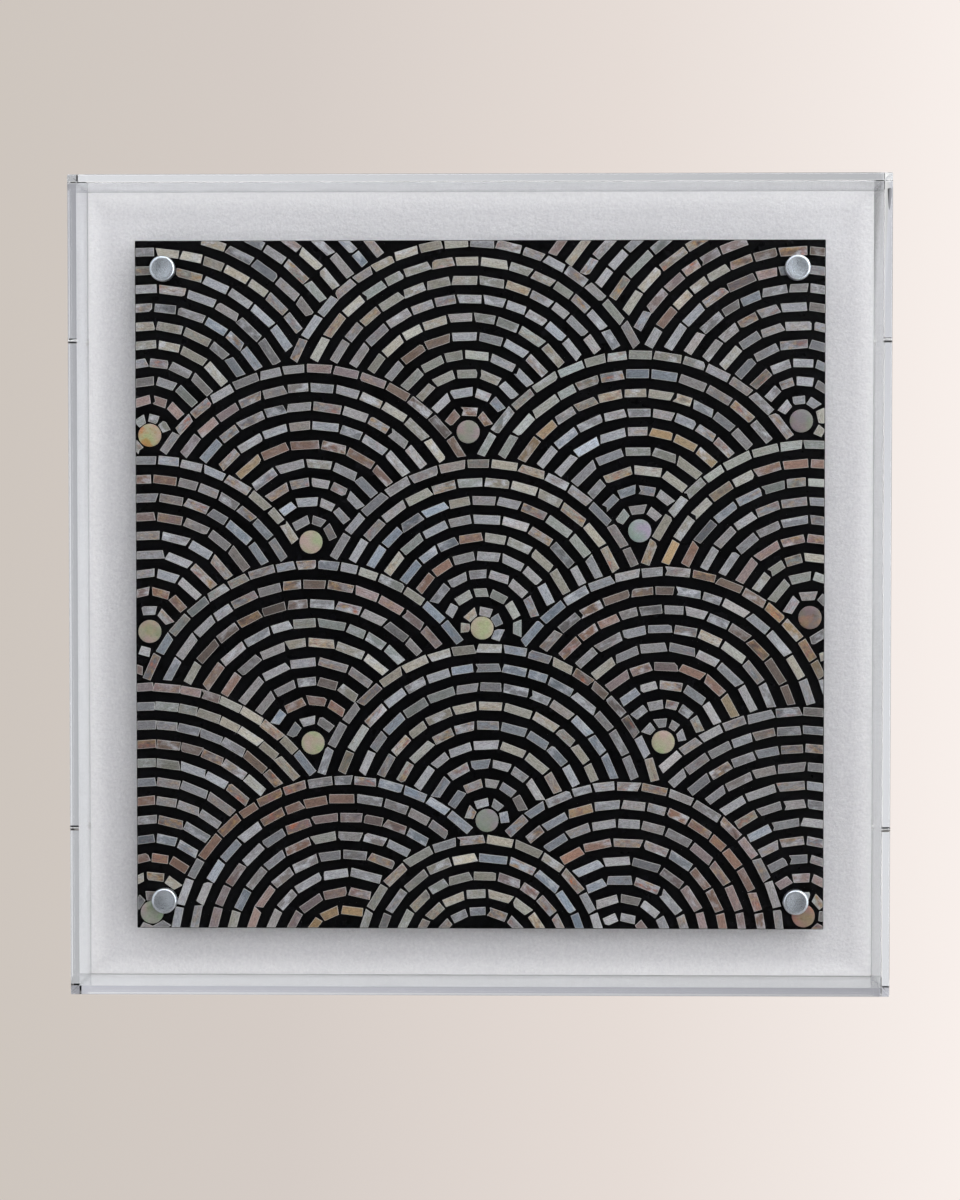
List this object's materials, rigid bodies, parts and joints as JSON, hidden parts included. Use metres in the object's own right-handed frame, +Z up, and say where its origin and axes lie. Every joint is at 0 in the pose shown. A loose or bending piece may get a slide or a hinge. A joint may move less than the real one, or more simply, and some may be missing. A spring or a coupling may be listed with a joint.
{
  "type": "decorative wall panel",
  "caption": "Square shadow box wall panel: a shell mosaic of overlapping waves on a black board, held off a white board inside a clear acrylic cover.",
  "frame": {"origin": "middle of the back of the white board, where the panel meets the wall", "axes": "+X to the right and +Z up as seen from the front, +Y into the wall, so the front faces -Y"},
  "size_m": [0.6138, 0.064, 0.61],
  "materials": {
    "clear_acrylic": "clear polished acrylic sheet",
    "white_board": "fibreboard covered in matt white fibrous paper",
    "shell_mosaic": "black board with flat mother-of-pearl tiles, the colour of both together",
    "shell": "polished mother-of-pearl, cream",
    "satin_metal": "satin turned",
    "screw_steel": "plain small screws",
    "hanger_steel": "zinc plated"
  },
  "bodies": {
    "root": {"acrylic_cover": "clear_acrylic", "back_board": "white_board", "mosaic_board": "shell_mosaic", "shell_disc_corner_left": "shell", "shell_disc_corner_right": "shell", "shell_disc_top_centre": "shell", "shell_disc_upper_left": "shell", "shell_disc_upper_right": "shell", "shell_disc_middle_left": "shell", "shell_disc_middle_centre": "shell", "shell_disc_middle_right": "shell", "shell_disc_lower_left": "shell", "shell_disc_lower_right": "shell", "shell_disc_bottom_left": "shell", "shell_disc_bottom_right": "shell", "shell_disc_bottom_centre": "shell", "standoff_cap_top_left": "satin_metal", "standoff_cap_top_right": "satin_metal", "standoff_cap_bottom_left": "satin_metal", "standoff_cap_bottom_right": "satin_metal", "standoff_barrel_top_left": "satin_metal", "standoff_barrel_top_right": "satin_metal", "standoff_barrel_bottom_left": "satin_metal", "standoff_barrel_bottom_right": "satin_metal", "cover_screw_top_left": "screw_steel", "cover_screw_top_right": "screw_steel", "cover_screw_bottom_left": "screw_steel", "cover_screw_bottom_right": "screw_steel", "hanger_plate_left": "hanger_steel", "hanger_plate_right": "hanger_steel", "hanger_screw_left_lower": "screw_steel", "hanger_screw_left_upper": "screw_steel", "hanger_screw_right_lower": "screw_steel", "hanger_screw_right_upper": "screw_steel"}
  },
  "joints": []
}
